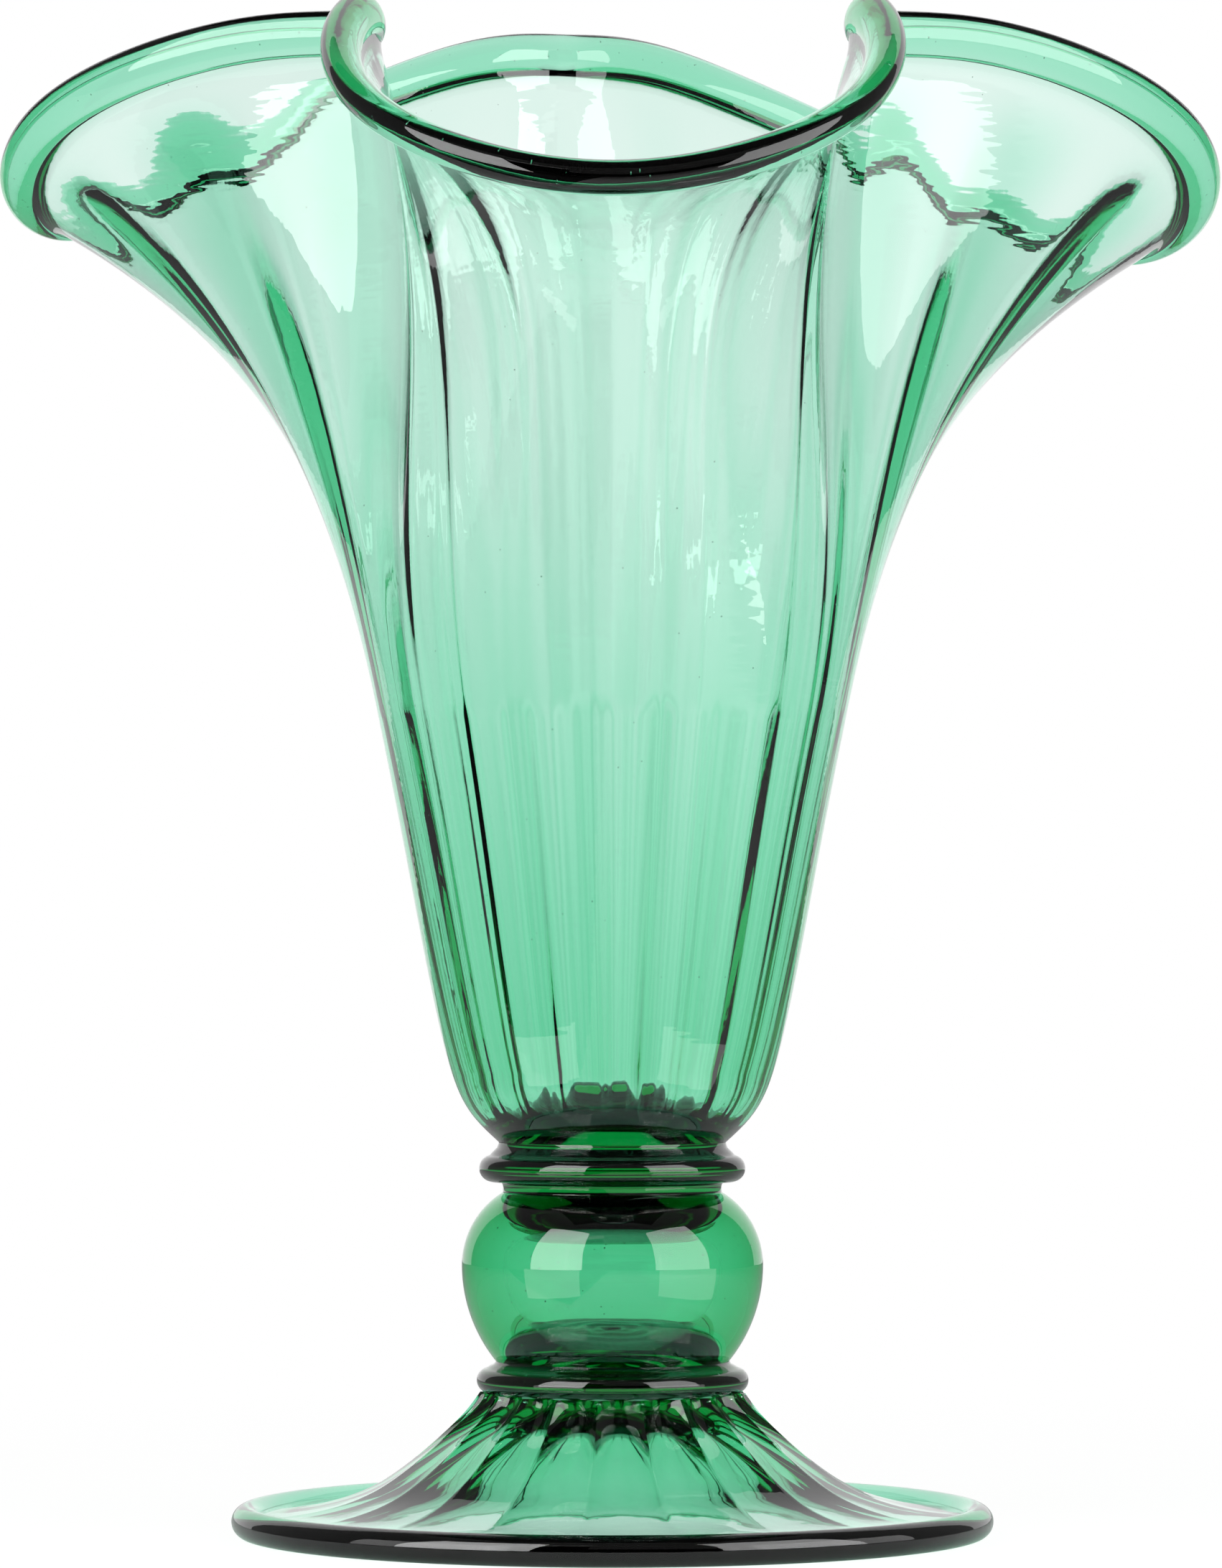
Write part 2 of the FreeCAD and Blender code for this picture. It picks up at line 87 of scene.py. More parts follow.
# Share of the way out to the brim, of the drop to its top, and of the flutes' full depth
FOOT_SHARES = [
    (0.0, 0.0, 1.0),
    (0.055, 0.135, 0.9),
    (0.16, 0.33, 0.44),
    (0.25, 0.475, 0.24),
    (0.38, 0.66, 0.16),
    (0.5, 0.795, 0.12),
    (0.64, 0.895, 0.08),
    (0.81, 0.965, 0.04),
    (1.0, 1.0, 0.0),
]
# Share of the way out under the foot, share of the drop from the hollow's roof
HOLLOW_SHARES = [
    (0.0, 0.0),
    (0.25, 0.02),
    (0.36, 0.12),
    (0.46, 0.34),
    (0.56, 0.56),
    (0.67, 0.74),
    (0.82, 0.9),
    (1.0, 1.0),
]


# Curves and directions

def spline(knots, values, at, period=None):
    """Smooth cubic curve through values at knots, read at the places asked for."""
    knots = np.asarray(knots, float)
    values = np.asarray(values, float)
    at = np.asarray(at, float)
    if period:
        knots = np.append(knots, knots[0] + period)
        values = np.vstack([values, values[:1]])
        at = knots[0] + (at - knots[0]) % period
    count = len(knots)
    gaps = np.diff(knots)
    system = np.zeros((count, count))
    right = np.zeros((count, values.shape[1]))
    slopes = np.diff(values, axis=0) / gaps[:, None]
    for row in range(1, count - 1):
        system[row, row - 1] = gaps[row - 1]
        system[row, row] = 2 * (gaps[row - 1] + gaps[row])
        system[row, row + 1] = gaps[row]
        right[row] = 6 * (slopes[row] - slopes[row - 1])
    if period:
        system[0, 0], system[0, -1] = 1, -1
        system[-1, 0] = 2 * (gaps[0] + gaps[-1])
        system[-1, 1] = gaps[0]
        system[-1, -2] += gaps[-1]
        right[-1] = 6 * (slopes[0] - slopes[-1])
    else:
        system[0, 0] = system[-1, -1] = 1
    bends = np.linalg.solve(system, right)
    piece = np.clip(np.searchsorted(knots, at, side="right") - 1, 0, count - 2)
    gap = gaps[piece][:, None]
    after = (at - knots[piece])[:, None]
    before = gap - after
    return (
        bends[piece] * before**3 / (6 * gap)
        + bends[piece + 1] * after**3 / (6 * gap)
        + (values[piece] / gap - bends[piece] * gap / 6) * before
        + (values[piece + 1] / gap - bends[piece + 1] * gap / 6) * after
    )


def hermite(start, start_run, end, end_run, share):
    square, cube = share**2, share**3
    return (
        start * (2 * cube - 3 * square + 1)
        + start_run * (cube - 2 * square + share)
        + end * (3 * square - 2 * cube)
        + end_run * (cube - square)
    )


def ease(share):
    share = np.clip(share, 0, 1)
    return share * share * (3 - 2 * share)


def arc(start, end, middle, steps):
    """Points of the shorter arc from start to end round a middle, both ends included."""
    first = math.atan2(start[1] - middle[1], start[0] - middle[0])
    last = math.atan2(end[1] - middle[1], end[0] - middle[0])
    turn = (last - first + math.pi) % (2 * math.pi) - math.pi
    reach = math.hypot(start[0] - middle[0], start[1] - middle[1])
    turns = [first + turn * share for share in np.linspace(0, 1, steps)]
    return [(middle[0] + reach * math.cos(t), middle[1] + reach * math.sin(t)) for t in turns]


def waist_middle(start, end, height):
    """Middle of a circle through two points, at a given height."""
    half = ((start[0] + end[0]) / 2, (start[1] + end[1]) / 2)
    chord = (end[0] - start[0], end[1] - start[1])
    return half[0] - (height - half[1]) * chord[1] / chord[0], height


def unit(vectors):
    return vectors / np.linalg.norm(vectors, axis=-1, keepdims=True)


def outward(bearings):
    turned = np.radians(bearings)
    return np.stack([np.cos(turned), np.sin(turned), np.zeros_like(turned)], axis=-1)


UP = np.array([0.0, 0.0, 1.0])
BEARINGS = RIB_BEARING + np.arange(AROUND) * 360.0 / AROUND
OUT = outward(BEARINGS)
HEXAGON = outward(np.arange(6) * 60.0)


def level_ring(radius, height):
    return OUT * np.asarray(radius).reshape(-1, 1) + UP * height


# The rim's line, and the bowl's wall up to it

def flank(fold, tip, rows):
    return [
        (
            fold[0] + (tip[0] - fold[0]) * turn,
            fold[1] + (tip[1] - fold[1]) * out,
            fold[2] + (tip[2] - fold[2]) * drop,
            fold[3] + (tip[3] - fold[3]) * drop,
        )
        for turn, out, drop in rows
    ]


def rim_posts():
    posts = []
    lobes = [
        (RIGHT_FOLD, RIGHT_LOBE, BACK_FOLD, SIDE_FLANK),
        (BACK_FOLD, LEFT_LOBE, LEFT_FOLD, SIDE_FLANK),
        (LEFT_FOLD, FRONT_LOBE, NEXT_RIGHT_FOLD, FRONT_FLANK),
    ]
    for first, tip, last, rows in lobes:
        posts += [first, *flank(first, tip, rows), tip, *flank(last, tip, rows[::-1])]
    return np.array(posts)


RIM_POSTS = rim_posts()


def rim_course(bearings):
    """Radius, height and climb of the rim's line."""
    return spline(RIM_POSTS[:, 0], RIM_POSTS[:, 1:], bearings, 360.0)


def rim_frames():
    """Middle line of the lip, the direction up along the wall, and its outside normal."""
    step = 0.01
    here = rim_course(BEARINGS)
    ahead, behind = rim_course(BEARINGS + step), rim_course(BEARINGS - step)
    change = (ahead - behind) / (2 * math.radians(step))
    sideways = np.cross(UP, OUT)
    along = unit(OUT * change[:, :1] + sideways * here[:, :1] + UP * change[:, 1:2])
    level = unit(np.stack([along[:, 1], -along[:, 0], np.zeros(AROUND)], axis=-1))
    climb = np.radians(here[:, 2:3])
    rise = level * np.cos(climb) + UP * np.sin(climb)
    normal = unit(np.cross(along, rise))
    wall = unit(np.cross(normal, along))
    return OUT * here[:, :1] + UP * (here[:, 1:2] + BOWL_BASE), wall, normal


RIM_MIDDLE, RIM_UP_WALL, RIM_NORMAL = rim_frames()
# Distance from the lip's middle to the flat on it that the wall's edge meets
LIP_SEAT = LIP_BREADTH / 2 * math.sqrt(1 - (SEAT_WALL / LIP_THICKNESS) ** 2)


def trumpet(ups):
    """Outside radius and wall of the bowl's round part at shares of the throat's height."""
    shares = np.array(TRUMPET_SHARES)
    out = spline(shares[:, 0], shares[:, 1:], ups)[:, 0]
    radius = SEAT_RADIUS + out * (THROAT_RADIUS - SEAT_RADIUS)
    return radius, BOWL_WALL + ups * (THROAT_WALL - BOWL_WALL)


def lobed_rings(side, shares):
    """Rings of the wall from the throat to the rim, on its outside (0.5) or inside (-0.5)."""
    ends = np.array([LEAN_FROM, 1.0])
    radius, wall = trumpet(ends)
    if side < 0:
        radius = radius - wall
    height = BOWL_BASE + ends * THROAT_HEIGHT
    start = OUT * radius[1] + UP * height[1]
    lean = unit(OUT * (radius[1] - radius[0]) + UP * (height[1] - height[0]))
    seat = LIP_SEAT - SEAM_GAP
    end = RIM_MIDDLE - RIM_UP_WALL * seat + RIM_NORMAL * (side * RIM_WALL)
    pull = np.linalg.norm(end - start, axis=-1, keepdims=True) * PULL_SHARE
    rings = []
    for share in shares:
        ring = hermite(start, lean * pull, end, RIM_UP_WALL * pull, share)
        swollen = max((share - SWELL_START) / (1 - SWELL_START), 0) ** 3
        swelling = swollen * (SEAT_WALL - RIM_WALL) / 2
        rings.append(ring + RIM_NORMAL * math.copysign(swelling, side))
    return rings


# Mesh building: rings of points joined into skins, each run of faces glossy or a hot-joined seam

class Shell:
    # A direction that no bubble is drawn out along
    OFF_AXIS = (0.31, 0.2, 0.93)
    BUBBLE_TILTS = (-50, 0, 50)
    SHARP = 40.0

    def __init__(self):
        self.points = []
        self.faces = []
        self.kinds = []
        self.count = 0

    def ring(self, points):
        self.points.append(points)
        self.count += len(points)
        return np.arange(self.count - len(points), self.count)

    def centre(self, point):
        self.points.append(np.array([point]))
        self.count += 1
        return self.count - 1

    def band(self, low, high, seam=False):
        """Quads between two rings. The outside is on the right of the way from low to high."""
        after_low, after_high = np.roll(low, -1), np.roll(high, -1)
        quads = np.stack([low, after_low, after_high, high], axis=-1)
        self.faces += quads.tolist()
        self.kinds += [int(seam)] * len(quads)

    def fan(self, ring, centre, facing_up, seam=False):
        after = np.roll(ring, -1)
        order = (ring, after) if facing_up else (after, ring)
        for first, second in zip(*order):
            self.faces.append([int(first), int(second), centre])
        self.kinds += [int(seam)] * len(ring)

    def skin(self, rings):
        for low, high in zip(rings, rings[1:]):
            self.band(low, high)

    def bubble(self, middle, thickness, reach=None):
        """A trapped bubble: a tiny hollow inside the glass, round or drawn out along a reach."""
        reach = UP * thickness if reach is None else np.asarray(reach, float)
        across = unit(np.cross(reach, self.OFF_AXIS))
        over = unit(np.cross(reach, across))
        round_it = across * HEXAGON[:, :1] + over * HEXAGON[:, 1:2]
        rings = []
        for tilt in np.radians(self.BUBBLE_TILTS):
            girth = round_it * thickness * math.cos(tilt)
            rings.append(self.ring(middle + reach * math.sin(tilt) + girth))
        self.skin(rings[::-1])
        self.fan(rings[0], self.centre(middle - reach), True)
        self.fan(rings[-1], self.centre(middle + reach), False)

    def build(self, name, node, material):
        mesh = bpy.data.meshes.new(name)
        mesh.from_pydata((np.vstack(self.points) * MM).tolist(), [], self.faces)
        mesh.materials.append(material)
        mesh.materials.append(seam_glass)
        mesh.polygons.foreach_set("material_index", self.kinds)
        mesh.polygons.foreach_set("use_smooth", [True] * len(self.faces))
        mesh.set_sharp_from_angle(angle=math.radians(self.SHARP))
        mesh.update()
        piece = bpy.data.objects.new(name, mesh)
        bpy.context.scene.collection.objects.link(piece)
        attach(piece, "root")
        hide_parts(node)


# The unevenness of hand-blown glass, round a whole ring

def near(bearing, width):
    """1 at a bearing, fading to 0 a width away on either side."""
    away = np.abs((BEARINGS - bearing + 180) % 360 - 180)
    return ease(1 - away / width)


def rib_wave(sharpness):
    """1 on a rib's crest, 0 in the valley, with the ribs drifting at the left."""
    drift = LEFT_DRIFT * near(180, 90)
    wave = 0.5 + 0.5 * np.cos(np.radians(BEARINGS - RIB_BEARING + drift) * RIBS)
    return wave**sharpness


def hand_wave(seed, counts, heights):
    """A gentle wave over bearing and height, one row for each height."""
    rng = np.random.default_rng(seed)
    turned = np.radians(BEARINGS)
    total = np.zeros((len(heights), AROUND))
    for count in counts:
        phase = rng.uniform(0, 2 * math.pi)
        drift = rng.uniform(0.004, 0.02)
        size = rng.uniform(0.5, 1)
        drifts = np.asarray(heights)[:, None] * drift
        waves = np.cos(turned[None, :] * count + phase + drifts)
        total += waves * size / len(counts)
    return total


def streaks(seed, count):
    """Narrow grooves of uneven width and depth that run up the wall."""
    rng = np.random.default_rng(seed)
    total = np.zeros(AROUND)
    for _ in range(count):
        place, width, depth = rng.uniform(0, 360), rng.uniform(0.8, 2.2), rng.uniform(0.2, 1)
        away = (BEARINGS - place + 180) % 360 - 180
        total += depth * np.exp(-((away / width) ** 2))
    return total


# Materials, in metres

GLASS_COLOUR = (0.03, 0.785, 0.5, 1)
GLASS_DENSITY = 165.0
GLASS_IOR = 1.5
# The fine ripple's noise is this many times finer than the slow wave's
RIPPLE_SCALE = 6
CHILL_SCALE, CHILL_STRETCH = 80.0, 7


def node_of(tree, kind, **inputs):
    node = tree.nodes.new(kind)
    for name, value in inputs.items():
        node.inputs[name.replace("_", " ")].default_value = value
    return node


def mix_of(tree, share, first, second):
    mix = tree.nodes.new("ShaderNodeMixShader")
    tree.links.new(share, mix.inputs["Fac"])
    tree.links.new(first, mix.inputs[1])
    tree.links.new(second, mix.inputs[2])
    return mix.outputs["Shader"]


def maths(tree, operation, first, second):
    node = tree.nodes.new("ShaderNodeMath")
    node.operation = operation
    node.use_clamp = True
    tree.links.new(first, node.inputs[0])
    tree.links.new(second, node.inputs[1])
    return node.outputs[0]


def new_material(name):
    material = bpy.data.materials.new(name)
    material.use_nodes = True
    tree = material.node_tree
    tree.nodes.clear()
    return material, tree, tree.nodes.new("ShaderNodeOutputMaterial")


def absorb(tree, output):
    volume = node_of(
        tree, "ShaderNodeVolumeAbsorption", Color=GLASS_COLOUR, Density=GLASS_DENSITY
    )
    tree.links.new(volume.outputs["Volume"], output.inputs["Volume"])


def glass(name, scale, stretch, wave, ripple, chill=0.0):
    """Clear gloss with tinted depth. Slow waves, fine ripples and flat chill marks bend it."""
    material, tree, output = new_material(name)
    place = tree.nodes.new("ShaderNodeTexCoord")
    surface = node_of(
        tree,
        "ShaderNodeBsdfPrincipled",
        Base_Color=(1, 1, 1, 1),
        Roughness=0.0,
        IOR=GLASS_IOR,
        Transmission_Weight=1.0,
    )
    layers = [
        (stretch, scale, 1.0, 0.4, wave),
        (stretch, scale * RIPPLE_SCALE, 2.0, 0.5, ripple),
        (CHILL_STRETCH, CHILL_SCALE, 1.0, 0.5, chill),
    ]
    normal = None
    for upright, fineness, detail, roughness, depth in layers:
        mapping = node_of(tree, "ShaderNodeMapping", Scale=(1, 1, upright))
        noise = node_of(
            tree, "ShaderNodeTexNoise", Scale=fineness, Detail=detail, Roughness=roughness
        )
        bump = node_of(tree, "ShaderNodeBump", Strength=1.0, Distance=depth)
        tree.links.new(place.outputs["Object"], mapping.inputs["Vector"])
        tree.links.new(mapping.outputs["Vector"], noise.inputs["Vector"])
        tree.links.new(noise.outputs["Fac"], bump.inputs["Height"])
        if normal is not None:
            tree.links.new(normal, bump.inputs["Normal"])
        normal = bump.outputs["Normal"]
    tree.links.new(normal, surface.inputs["Normal"])
    path = tree.nodes.new("ShaderNodeLightPath")
    clear = tree.nodes.new("ShaderNodeBsdfTransparent")
    shadow = path.outputs["Is Shadow Ray"]
    mixed = mix_of(tree, shadow, surface.outputs["BSDF"], clear.outputs["BSDF"])
    tree.links.new(mixed, output.inputs["Surface"])
    absorb(tree, output)
    return material


def unbroken_glass(name):
    """Where two gathers were joined hot the glass goes on unbroken, so nothing bends or shines."""
    material, tree, output = new_material(name)
    clear = tree.nodes.new("ShaderNodeBsdfTransparent")
    tree.links.new(clear.outputs["BSDF"], output.inputs["Surface"])
    absorb(tree, output)
    return material


seam_glass = unbroken_glass("hot_seam")
bowl_glass = glass("bowl_glass", 60.0, 0.04, wave=0.00005, ripple=0.000022, chill=0.000036)
lip_glass = glass("lip_glass", 30.0, 1.0, wave=0.0004, ripple=0.00003)
stem_glass = glass("stem_glass", 40.0, 1.0, wave=0.0002, ripple=0.00002)
ball_glass = glass("ball_glass", 25.0, 1.0, wave=0.0003, ripple=0.00002)
foot_glass = glass("foot_glass", 25.0, 1.0, wave=0.0004, ripple=0.00003)


# Bowl

RIB_DEPTH, RIB_SHARPNESS = 0.6, 1.4
# In the middle of the front and back the ribs are this much deeper, and the wall is thinned
# by their mean so that its colour stays
MIDDLE_RIBS, MIDDLE_WIDTH, MIDDLE_MEAN = 1.0, 75, 0.45
LOBE_RIB_DEPTH, LOBE_RIB_SHARPNESS, LOBE_RIB_WIDTH = 2.0, 1.2, 60
RIGHT_RIBS, LEFT_RIBS = 3, 180
LEFT_DRIFT = 6.0
STREAK_DEPTH, STREAKS = 0.24, 130
WALL_THINNED = 0.2
BOWL_WAVE = 0.12
TRUMPET_ROWS, DOME_ROWS, CORNER_ROWS = 70, 24, 10
LOBE_SHARES = np.concatenate([np.linspace(0, 0.95, 82)[1:], np.linspace(0.955, 1, 14)])
BOWL_BUBBLES = 260
BUBBLE_SIZES = (0.06, 0.16)


def bowl_wave(heights):
    return hand_wave(3, (2, 3, 5, 7), heights) * BOWL_WAVE


def bowl_outside(ups):
    radius, _ = trumpet(ups)
    heights = BOWL_BASE + SEAM_GAP + ups * THROAT_HEIGHT
    rings = [
        level_ring(r + wave * up, z)
        for r, z, wave, up in zip(radius, heights, bowl_wave(heights), ups)
    ]
    waves = bowl_wave(heights[-1] + LOBE_SHARES * 100)
    for ring, wave, share in zip(lobed_rings(0.5, LOBE_SHARES), waves, LOBE_SHARES):
        rings.append(ring + OUT * (wave * (1 - share))[:, None])
    return rings


def bowl_inside(ups):
    stronger = 1 + MIDDLE_RIBS * (near(270, MIDDLE_WIDTH) + near(90, MIDDLE_WIDTH))
    ribs = stronger * rib_wave(RIB_SHARPNESS) - MIDDLE_MEAN * (stronger - 1)
    groove = RIB_DEPTH * ribs + (STREAK_DEPTH * streaks(11, STREAKS) - WALL_THINNED)
    radius, wall = trumpet(ups)
    corner = ups[0] * THROAT_HEIGHT - BOWL_FLOOR
    level = radius[0] - wall[0] - corner
    floor = BOWL_BASE + BOWL_FLOOR
    dome = np.array(DOME_SHARES)
    outs = np.linspace(0, 1, DOME_ROWS)[1:]
    rises = spline(dome[:, 0], dome[:, 1:], outs)[:, 0]
    rings = [level_ring(level * out, floor + FLOOR_DOME * rise) for out, rise in zip(outs, rises)]
    for turned in np.radians(np.linspace(8, 90, CORNER_ROWS)):
        run, lift = math.sin(turned), 1 - math.cos(turned)
        ring = level_ring(level + corner * run, floor + corner * lift)
        rings.append(ring - OUT * (groove * run)[:, None])
    for r, w, up in zip(radius[1:], wall[1:], ups[1:]):
        rings.append(level_ring(r - w, BOWL_BASE + up * THROAT_HEIGHT) - OUT * groove[:, None])
    sides = near(RIGHT_RIBS, LOBE_RIB_WIDTH) + near(LEFT_RIBS, LOBE_RIB_WIDTH)
    deep = LOBE_RIB_DEPTH * rib_wave(LOBE_RIB_SHARPNESS) * sides
    for ring, share in zip(lobed_rings(-0.5, LOBE_SHARES), LOBE_SHARES):
        fading = 1 - share**3
        grown = ease(share / 0.55) * ease((1 - share) / 0.12)
        rings.append(ring - RIM_NORMAL * (groove * fading + deep * grown)[:, None])
    return rings


def bowl():
    shell = Shell()
    ups = np.linspace(0, 1, TRUMPET_ROWS)
    outside = bowl_outside(ups)
    inside = bowl_inside(ups[ups * THROAT_HEIGHT > BOWL_FLOOR + FLOOR_CORNER])
    outer = [shell.ring(ring) for ring in outside]
    inner = [shell.ring(ring) for ring in inside]
    shell.skin(outer)
    shell.skin(inner[::-1])
    shell.band(outer[-1], inner[-1], seam=True)
    shell.fan(inner[0], shell.centre((0, 0, BOWL_BASE + BOWL_FLOOR + FLOOR_DOME)), True)
    shell.fan(outer[0], shell.centre((0, 0, BOWL_BASE + SEAM_GAP)), False, seam=True)
    rng = np.random.default_rng(21)
    for _ in range(BOWL_BUBBLES):
        row, turned, depth = rng.integers(2, 140), rng.integers(AROUND), rng.uniform(0.35, 0.65)
        middle = outside[-row][turned] * depth + inside[-row][turned] * (1 - depth)
        shell.bubble(middle, rng.uniform(*BUBBLE_SIZES))
    shell.build("bowl_blown", "bowl", bowl_glass)


# Lip

LIP_ROWS = 40
LIP_BUBBLES = 200


def lip():
    shell = Shell()
    opening = math.acos(-LIP_SEAT / (LIP_BREADTH / 2))
    rings = []
    for turned in np.linspace(-opening, opening, LIP_ROWS):
        up_wall, across = LIP_BREADTH / 2 * math.cos(turned), LIP_THICKNESS / 2 * math.sin(turned)
        rings.append(shell.ring(RIM_MIDDLE + RIM_UP_WALL * up_wall + RIM_NORMAL * across))
    shell.skin(rings[::-1])
    shell.band(rings[0], rings[-1], seam=True)
    rng = np.random.default_rng(22)
    for turned in rng.integers(AROUND, size=LIP_BUBBLES):
        up_wall, across = rng.uniform(-1, 2.5), rng.uniform(-1.4, 1.4)
        middle = RIM_MIDDLE[turned] + RIM_UP_WALL[turned] * up_wall + RIM_NORMAL[turned] * across
        shell.bubble(middle, rng.uniform(0.06, 0.18))
    shell.build("lip_rod", "lip_wrap", lip_glass)


# Turned pieces of the stem

DISC_FILLET = 0.8
DISC_BUBBLES = 30


def turned_side(shell, profile, wobble, seed):
    """Rings of a turned outline from its bottom up; the outside is away from the axis."""
    heights = [point[1] for point in profile]
    waves = hand_wave(seed, (1, 2, 3), heights) * wobble
    return [
        shell.ring(level_ring(radius + wave, height))
        for (radius, height), wave in zip(profile, waves)
    ]


def disc(name, node, base, low_hub, drop, radius, thickness, top_hub, rise, seed):
    """A solid bead between two hubs. Its shoulder slopes up to the upper one."""
    shell = Shell()
    bottom, top = base + drop, base + drop + thickness
    crown = top + rise - SEAM_GAP
    reach, half = radius - thickness / 2, thickness / 2
    profile = []
    if drop:
        corner = (low_hub + DISC_FILLET, bottom - DISC_FILLET)
        profile.append((low_hub, base + SEAM_GAP))
        profile += arc((low_hub, bottom - DISC_FILLET), (low_hub + DISC_FILLET, bottom), corner, 6)
    profile.append((reach, bottom if drop else bottom + SEAM_GAP))
    for turned in np.radians(np.linspace(-88, 78, 24)):
        out, lift = half * math.cos(turned), half * math.sin(turned)
        profile.append((reach + out, (bottom + top) / 2 + lift))
    profile.append((top_hub + 1.3, top + rise * 0.2))
    profile.append((top_hub + 0.3, top + rise * 0.6))
    profile.append((top_hub, crown))
    rings = turned_side(shell, profile, 0.1, seed)
    shell.skin(rings)
    shell.fan(rings[0], shell.centre((0, 0, profile[0][1])), False, seam=True)
    shell.fan(rings[-1], shell.centre((0, 0, crown)), True, seam=True)
    rng = np.random.default_rng(seed)
    for _ in range(DISC_BUBBLES):
        away, bearing = rng.uniform(0.5, 0.92) * radius, rng.uniform(0, 360)
        middle = outward(bearing) * away + UP * (bottom + thickness * rng.uniform(0.35, 0.65))
        shell.bubble(middle, rng.uniform(*BUBBLE_SIZES))
    shell.build(name, node, stem_glass)


BALL_BASE, BALL_HEIGHT, BALL_WAIST = 33.5, 32.7, 18.6
BALL_LOW_RADIUS, BALL_RADIUS, BALL_HIGH_RADIUS = 22.6, 29.2, 21.2
BALL_WALL, BALL_FLOOR, BALL_ROOF = 8.0, 5.0, 6.6
HOLLOW_FLOOR_RADIUS, HOLLOW_ROOF_RADIUS = 15.2, 15.0
BALL_ROWS, BALL_FLOOR_ROWS = 30, 24
FLOOR_RIPPLE, FLOOR_DIMPLE, DIMPLE_WIDTH, FLOOR_WANDER = 0.25, 1.6, 1.4, 0.35
BALL_BUBBLES = 70
# The one bubble that was drawn out as the ball was turned: middle, thickness and reach
LONG_BUBBLE = (np.array([8.5, -18.0, 64.9]), 0.3, (5.7, 2.4, 0.2))


def barrel(low, waist, high):
    """Two arcs that meet upright at the waist, from the lower point to the upper one."""
    points = arc(low, waist, waist_middle(low, waist, BALL_WAIST), BALL_ROWS)
    points += arc(waist, high, waist_middle(waist, high, BALL_WAIST), BALL_ROWS)[1:]
    return [(radius, BALL_BASE + height) for radius, height in points]


def hollow_floor(shell, edge, height):
    """The rippled and dimpled floor of the ball's hollow, from its middle out."""
    rings = []
    for share in np.linspace(0.06, 0.94, BALL_FLOOR_ROWS):
        away = edge * share
        ripple = FLOOR_RIPPLE * math.cos(away * 1.6) * (1 - share)
        dimple = FLOOR_DIMPLE * math.exp(-((away / DIMPLE_WIDTH) ** 2))
        wander = hand_wave(13, (1, 2, 3, 5), [away * 40])[0] * FLOOR_WANDER
        wander = wander * share * (1 - share) * 4
        up = UP * (height - ripple - dimple + wander)[:, None]
        rings.append(shell.ring(level_ring(away, 0) + up))
    return rings


def ball():
    shell = Shell()
    profile = barrel(
        (BALL_LOW_RADIUS, 0), (BALL_RADIUS, BALL_WAIST), (BALL_HIGH_RADIUS, BALL_HEIGHT)
    )
    profile[0] = (profile[0][0], profile[0][1] + SEAM_GAP)
    profile[-1] = (profile[-1][0], profile[-1][1] - SEAM_GAP)
    rings = turned_side(shell, profile, 0.08, 5)
    shell.skin(rings)
    shell.fan(rings[0], shell.centre((0, 0, profile[0][1])), False, seam=True)
    shell.fan(rings[-1], shell.centre((0, 0, profile[-1][1])), True, seam=True)
    hollow = barrel(
        (HOLLOW_FLOOR_RADIUS, BALL_FLOOR),
        (BALL_RADIUS - BALL_WALL, BALL_WAIST),
        (HOLLOW_ROOF_RADIUS, BALL_HEIGHT - BALL_ROOF),
    )
    hollow_rings = turned_side(shell, hollow, 0.15, 6)
    shell.skin(hollow_rings[::-1])
    edge, floor = hollow[0]
    floor_rings = hollow_floor(shell, edge, floor)
    shell.skin(floor_rings[::-1])
    shell.band(hollow_rings[0], floor_rings[-1])
    shell.fan(floor_rings[0], shell.centre((0, 0, floor - FLOOR_RIPPLE - FLOOR_DIMPLE)), True)
    shell.fan(hollow_rings[-1], shell.centre((0, 0, hollow[-1][1])), False)
    rng = np.random.default_rng(23)
    for _ in range(BALL_BUBBLES):
        away, bearing = rng.uniform(22.4, 25.4), rng.uniform(0, 360)
        height = BALL_BASE + BALL_WAIST + rng.uniform(-8, 7)
        shell.bubble(outward(bearing) * away + UP * height, rng.uniform(*BUBBLE_SIZES))
    shell.bubble(*LONG_BUBBLE)
    shell.build("ball_blown", "ball_knop", ball_glass)


# Foot and the wrap of its edge

FOOT_HEIGHT, FOOT_NECK, FOOT_BRIM = 27.4, 25.8, 67.9
BRIM_THICKNESS, CORE_THICKNESS, FOOT_WALL = 2.7, 6.8, 3.4
FLUTE_DEPTH, FLUTE_SHARPNESS = 2.3, 0.8
WRAP_RADIUS, GROUND_DEPTH = 3.05, 0.25
WRAP_MIDDLE = WRAP_RADIUS - GROUND_DEPTH
CONTACT_RADIUS = 23.4
FOOT_ROWS, HOLLOW_ROWS, WRAP_ROWS = 80, 60, 48
# Weight of a share of the drop against a share of the way out, for even rows
DROP_WEIGHT = 0.55


